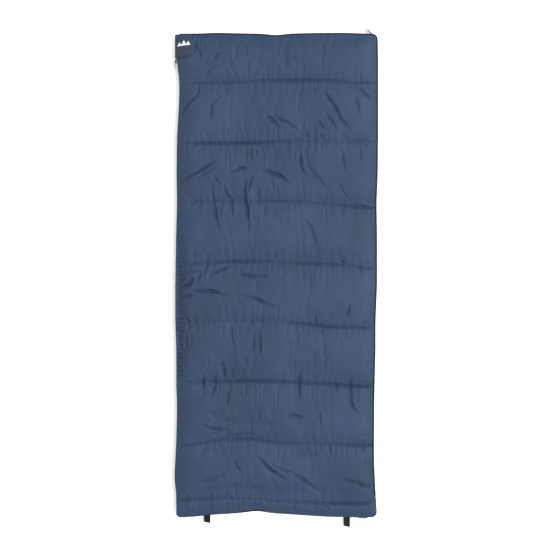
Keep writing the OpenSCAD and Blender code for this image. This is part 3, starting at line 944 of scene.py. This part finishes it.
def lining_sheet(body, in_z, side):
    """The inner fabric of a panel, drawn into it along the quilting rows."""
    xs, ys = grid_lines()
    xs = xs[::2]
    gx, gy = np.meshgrid(xs, ys)
    x, y = round_corner(gx.ravel() * 0.995, gy.ravel() * 0.998)
    x, y = bend_outline(x, y)
    grid = refine(np.stack([x, y, 0 * x], 1).reshape(len(ys), len(xs), 3), 2)
    ny, nx = grid.shape[:2]
    points = grid.reshape(-1, 3)
    near_row = np.min([np.abs(points[:, 1] - place) for place in ROWS], axis=0)
    to_edge = np.minimum(HALF_W - np.abs(points[:, 0]), HALF_L - np.abs(points[:, 1]))
    inside = np.clip(to_edge / 0.045, 0, 1)
    ripple = np.array([noise.noise(Vector((p[0] * 28, p[1] * 6, side * 4.0)))
                       + 0.7 * noise.noise(Vector((p[0] * 50, p[1] * 10, side * 2.0)))
                       for p in points])
    sag = fractal(points, 7.0, 5 + side)
    dent = 2.6 * np.exp(-near_row / 0.020) + 3.0 * np.exp(-near_row / 0.0045)
    dent -= 2.4 * (1 - np.exp(-(near_row / 0.060) ** 2))
    dent += 5.4 * ripple * np.exp(-near_row / 0.036) + 2.2 * sag
    height = LINING_MOST * np.tanh((dent + 0.6) / LINING_MOST)
    points[:, 2] = in_z + side * MM * inside * height
    faces = sheet_faces(nx, ny)
    if side > 0:
        faces = [tuple(reversed(f)) for f in faces]
    obj = mesh_object(f"{body}_inner", points, faces, M["lining"])
    thicken(obj, 0.5 * MM)
    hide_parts(f"{body}_lining")
    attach(obj, body)
    return obj


# ---------------------------------------------------------------- thread and label

def surface_of(obj):
    """A function that gives the height of obj's face at a place, seen from above or below."""
    mesh = obj.data
    tree = BVHTree.FromPolygons([v.co for v in mesh.vertices],
                                [tuple(p.vertices) for p in mesh.polygons])

    def height(x, y, side=1):
        hit = tree.ray_cast(Vector((x, y, side)), Vector((0, 0, -side)))
        return hit[0].z if hit[0] else None

    return height


def add_stitch(points, faces, a, b, thick):
    """One stitch: a thread that rises out of the cloth at a and goes in at b."""
    a, b = Vector(a), Vector(b)
    along = (b - a).normalized()
    across = along.cross(Vector((0, 0, 1))).normalized() * thick / 2
    up = across.cross(along).normalized() * thick / 2
    start = len(points)
    points.append(tuple(a))
    for share in (0.25, 0.75):
        c = a + (b - a) * share
        points.extend(tuple(c + d) for d in (across, up, -across, -up))
    points.append(tuple(b))
    for k in range(4):
        m = (k + 1) % 4
        faces.append((start, start + 1 + k, start + 1 + m))
        faces.append((start + 1 + k, start + 5 + k, start + 5 + m, start + 1 + m))
        faces.append((start + 5 + k, start + 9, start + 5 + m))


def stitch_lines(name, body, lines, height, side, pitch, thick, material):
    """Running stitches along plan lines that lie on a surface."""
    points, faces = [], []
    for line in lines:
        places = resampled(np.array(line, float), pitch)
        for p, q in zip(places, places[1:]):
            q = p + (q - p) * 0.72
            zs = height(p[0], p[1], side), height(q[0], q[1], side)
            if None in zs:
                continue
            lift = side * 0.05 * MM
            add_stitch(points, faces, (*p, zs[0] + lift), (*q, zs[1] + lift), thick)
    obj = mesh_object(name, points, faces, material)
    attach(obj, body)
    return obj


def lining_stitches(body, lining, side):
    """The quilting rows as they show on a lining, whose bare face looks up where side is 1."""
    x = np.linspace(-HALF_W + 8 * MM, HALF_W - 8 * MM, 60)
    lines = [np.stack([x, 0 * x + place], 1) for place in ROWS]
    obj = stitch_lines(f"{body}_inner_stitches", body, lines, surface_of(lining), side,
                       pitch=5.5 * MM, thick=0.9 * MM, material=M["thread"])


def care_tag(lining):
    """The blank label, sewn to the back's lining beside the zip."""
    height = surface_of(lining)
    low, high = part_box("care_label")
    gx, gy = np.meshgrid(np.linspace(low.x, high.x, 9), np.linspace(high.y, low.y, 13))
    x, y = bend_outline(gx.ravel(), gy.ravel())
    curl = 1.4 * MM * np.clip((gx.ravel() - low.x) / (high.x - low.x), 0, 1) ** 3
    points = [(a, b, height(a, b) + 0.5 * MM + c) for a, b, c in zip(x, y, curl)]
    tag = mesh_object("care_tag", points, sheet_faces(9, 13), M["label"])
    thicken(tag, 0.3 * MM)
    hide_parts("care_label")
    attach(tag, "back")


def quilting(body, skin, rows, side):
    """The thread of a panel's quilting rows."""
    reach = HALF_W - 6 * MM
    lines = []
    for place, (stray, _) in zip(ROWS, rows):
        x = np.linspace(-reach, reach, 60)
        lines.append(np.stack([x, place + np.interp(x, ACROSS, stray) * MM], 1))
    obj = stitch_lines(f"{body}_stitches", body, lines, surface_of(skin), side,
                       pitch=4.4 * MM, thick=0.7 * MM, material=M["thread"])
    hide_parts(f"{body}_quilting_thread")


# ---------------------------------------------------------------- closure flap

FLAP_LOW, FLAP_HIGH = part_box("flap_base")
LEG_LOW, LEG_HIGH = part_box("closure_flap")


def closure_flap(skin):
    """The flap: it lies on the cover, turns over the zip edge and hangs down beside it."""
    height = surface_of(skin)
    inner_x = FLAP_HIGH.x - 4 * MM
    outer_x = LEG_LOW.x + 0.4 * MM
    top_z = FLAP_LOW.z + 0.5 * MM
    leg = [(outer_x - 0.5 * MM * math.sin(math.pi * t), LEG_LOW.z + (top_z - LEG_LOW.z) * t)
           for t in np.linspace(0, 0.92, 9)]
    turn = [(outer_x + 0.6 * MM, top_z + 0.4 * MM), (outer_x + 2.2 * MM, top_z + 1.6 * MM)]
    top = [(x, None) for x in np.linspace(outer_x + 5 * MM, inner_x, 26)]
    columns = leg + turn + top
    lanes = 34
    points = []
    for x, z in columns:
        inwards = max(0, (x - outer_x) / (inner_x - outer_x))
        low_y = FLAP_LOW.y - 5 * MM + 15 * MM * inwards
        corner = 9 * MM
        if inner_x - x < corner:
            low_y += corner - math.sqrt(max(0, corner ** 2 - (corner - inner_x + x) ** 2))
        for t in np.linspace(0, 1, lanes):
            y = low_y + (FLAP_HIGH.y - low_y) * t
            here = z
            if here is None:
                around = [height(x + dx, min(y + dy, HALF_L - 4 * MM))
                          for dx in (-4 * MM, 4 * MM) for dy in (-4 * MM, 4 * MM)]
                around = [v for v in around if v is not None]
                swell = noise.noise(Vector((x * 40, y * 32, 2.5)))
                here = max([*around, top_z + 1.6 * MM]) + (1.4 + 0.9 * swell) * MM
                to_edge = min(inner_x - x, y - low_y)
                here += 1.8 * MM * math.exp(-(to_edge / (5 * MM)) ** 2) * (swell + 0.9)
            points.append((x, y, here))
    obj = mesh_object("flap", points, sheet_faces(lanes, len(columns)), M["flap"])
    thicken(obj, 1.3 * MM, centred=True)
    rounder = obj.modifiers.new("round", "SUBSURF")
    rounder.levels = rounder.render_levels = 1
    on_flap = surface_of(obj)
    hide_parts("flap_base", "closure_flap")
    y = (FLAP_LOW.y + FLAP_HIGH.y) / 2
    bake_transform(obj)
    return on_flap, outer_x, inner_x


def on_sheet(height, lift):
    """Heights on a sheet's middle surface, raised to its upper face."""
    return lambda x, y, side=1: None if height(x, y) is None else height(x, y) + lift


def flap_trim(on_flap, outer_x, inner_x):
    """Stitches round the flap's lying part, and the plain badge of three peaks."""
    face = on_sheet(on_flap, 0.65 * MM)
    low_y, high_y, inset = FLAP_LOW.y + 3 * MM, FLAP_HIGH.y - 4 * MM, 4.5 * MM
    lines = [[(outer_x + 8 * MM, low_y + 0.5 * MM), (inner_x - 10 * MM, low_y + 11 * MM),
              (inner_x - inset, low_y + 18 * MM), (inner_x - inset, high_y)]]
    stitches = stitch_lines("flap_stitches", "cover", lines, face, side=1, pitch=3.4 * MM,
                            thick=0.7 * MM, material=M["thread"])
    points, faces = [], []
    centre_x, base_y = (outer_x + inner_x) / 2 + 1 * MM, (low_y + high_y) / 2
    for number, (half, tall) in enumerate(((9, 14), (10.5, 20), (9, 15))):
        x0 = centre_x + (number - 1) * 17 * MM
        steps = 8
        start = len(points)
        for j in range(steps + 1):
            share = 1 - j / steps
            for i in range(steps + 1):
                x = x0 + (i / steps * 2 - 1) * half * share * MM
                y = base_y + j / steps * tall * MM + 0.1 * (x - centre_x)
                points.append((x, y, (face(x, y) or COVER_OUT_Z) + 0.25 * MM))
        faces += strip_faces(steps + 1, steps + 1, start)
    badge = mesh_object("flap_mark", points, faces, M["print"])
    bm = bmesh.new()
    bm.from_mesh(badge.data)
    bmesh.ops.remove_doubles(bm, verts=bm.verts, dist=0.01 * MM)
    bm.to_mesh(badge.data)
    bm.free()
    thicken(badge, 0.3 * MM)
    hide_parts("flap_badge")
    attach(badge, "cover")


# ---------------------------------------------------------------- loops

def strap(name, path, across, thickness, material, slant=0.0):
    """A flat strap along a path, as wide as the vector across, its far side pushed on by slant."""
    path = [Vector(p) for p in path]
    across = Vector(across)
    rib = [(-1, 0.55), (-0.9, 1), (-0.3, 1), (0.3, 1), (0.9, 1), (1, 0.55)]
    section = [(w, t) for w, t in rib] + [(w, -t) for w, t in reversed(rib)]
    n = len(section)
    points = []
    far = max((p - path[0]).length for p in path)
    for k, p in enumerate(path):
        ahead = path[min(k + 1, len(path) - 1)] - path[max(k - 1, 0)]
        normal = ahead.cross(across).normalized() * thickness / 2
        outwards = (p - path[0]) / far
        for w, t in section:
            points.append(tuple(p + across * w / 2 + normal * t + outwards * slant * w))
    faces = [(k * n + i, k * n + (i + 1) % n, (k + 1) * n + (i + 1) % n, (k + 1) * n + i)
             for k in range(len(path) - 1) for i in range(n)]
    faces.append(tuple(reversed(range(n))))
    faces.append(tuple(range((len(path) - 1) * n, len(path) * n)))
    return mesh_object(name, points, faces, material)


def drop(root, out, up, reach, radius, gap):
    """A strap's path: out from the root on one side, round its end, and back on the other."""
    root, out, up = Vector(root), Vector(out).normalized(), Vector(up).normalized()
    centre = reach - radius
    lean = math.asin(radius / centre)
    path = [root + up * gap]
    path += [root + out * centre * t + up * radius * (math.sin(t * math.pi / 2) ** 1.2)
             for t in (0.2, 0.4, 0.6, 0.8)]
    for degrees in range(90 - round(math.degrees(lean) / 2), -91, -18):
        a = math.radians(degrees)
        path.append(root + out * (centre + radius * math.cos(a)) + up * radius * math.sin(a))
    path += [root + out * centre * t - up * radius * (math.sin(t * math.pi / 2) ** 1.2)
             for t in (0.8, 0.6, 0.4, 0.2)]
    path.append(root - up * gap)
    return path


def foot_loop(name, shown):
    """A webbing loop at the foot, sewn into the seam above it, with that share of it out."""
    low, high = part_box(name)
    x, z = (low.x + high.x) / 2, (low.z + high.z) / 2
    root_y, reach = high.y, (high.y - low.y) * shown
    radius = (high.z - low.z) / 2 - 0.9 * MM
    path = drop((x, root_y, z), (0, -1, 0), (0, 0, 1), reach, radius, gap=0.9 * MM)
    anchor = [(x, root_y + 9 * MM, z + 5.2 * MM), (x, root_y + 4 * MM, z + 3.6 * MM)]
    path = [Vector(p) + Vector((0, 0, 0.9 * MM)) for p in anchor] + path
    path += [Vector(p) - Vector((0, 0, 0.9 * MM)) for p in reversed(anchor)]
    obj = strap(f"{name}_webbing", path, (high.x - low.x, 0, 0), thickness=1.5 * MM,
                material=M["webbing"], slant=3.2 * MM)
    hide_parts(name)
    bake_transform(obj)


def head_loop():
    """The narrow loop at the head's corner. It stands on its edge and leans over."""
    joint = next(j for j in frame["joints"] if j["child"] == "head_loop")
    low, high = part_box("head_loop")
    root = Vector(joint["pos_m"])
    tip = Vector((low.x, high.y, root.z))
    out = (tip - root).normalized()
    up = Vector((-out.y, out.x, 0))
    reach = (tip - root).length - 2.0 * MM
    path = drop(root, out, up, reach, radius=3.0 * MM, gap=1.3 * MM)
    sewn = root + Vector((1.5 * MM, -8 * MM, 0))
    path = [sewn + up * MM, *path, sewn - up * MM]
    obj = strap("head_loop_tape", path, (0, 0, high.z - low.z), thickness=1.8 * MM,
                material=M["webbing"])
    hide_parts("head_loop")
    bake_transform(obj)


# ---------------------------------------------------------------- CAD nodes that stay

FINISHES = {
    "back_zip_stops": "steel", "cover_zip_stops": "steel", "side_slider_pin": "steel",
    "foot_slider_pin": "steel", "side_slider": "slider", "foot_slider": "slider",
    "side_pull": "pull", "foot_pull": "pull", "velcro_loop_patch": "pile",
    "velcro_hook_patch": "pile",
}


def finish_cad_nodes():
    for node_name, key in FINISHES.items():
        slots = frame["nodes"][node_name].data.materials
        slots.clear()
        slots.append(M[key])


make_camera()
make_stage()
cover = cover_skin()
back = back_skin()
rim_points = rim()
zip_halves(zip_line(rim_points))
fold_seam(rim_points)
head_bindings(rim_points)
back_inner = lining_sheet("back", BACK_IN_Z, -1)
cover_inner = lining_sheet("cover", COVER_IN_Z, 1)
lining_stitches("back", back_inner, 1)
lining_stitches("cover", cover_inner, -1)
care_tag(back_inner)
quilting("cover", cover, COVER_ROWS, 1)
quilting("back", back, BACK_ROWS, -1)
flap_trim(*closure_flap(cover))
foot_loop("left_foot_loop", shown=0.72)
foot_loop("right_foot_loop", shown=1.2)
head_loop()
finish_cad_nodes()
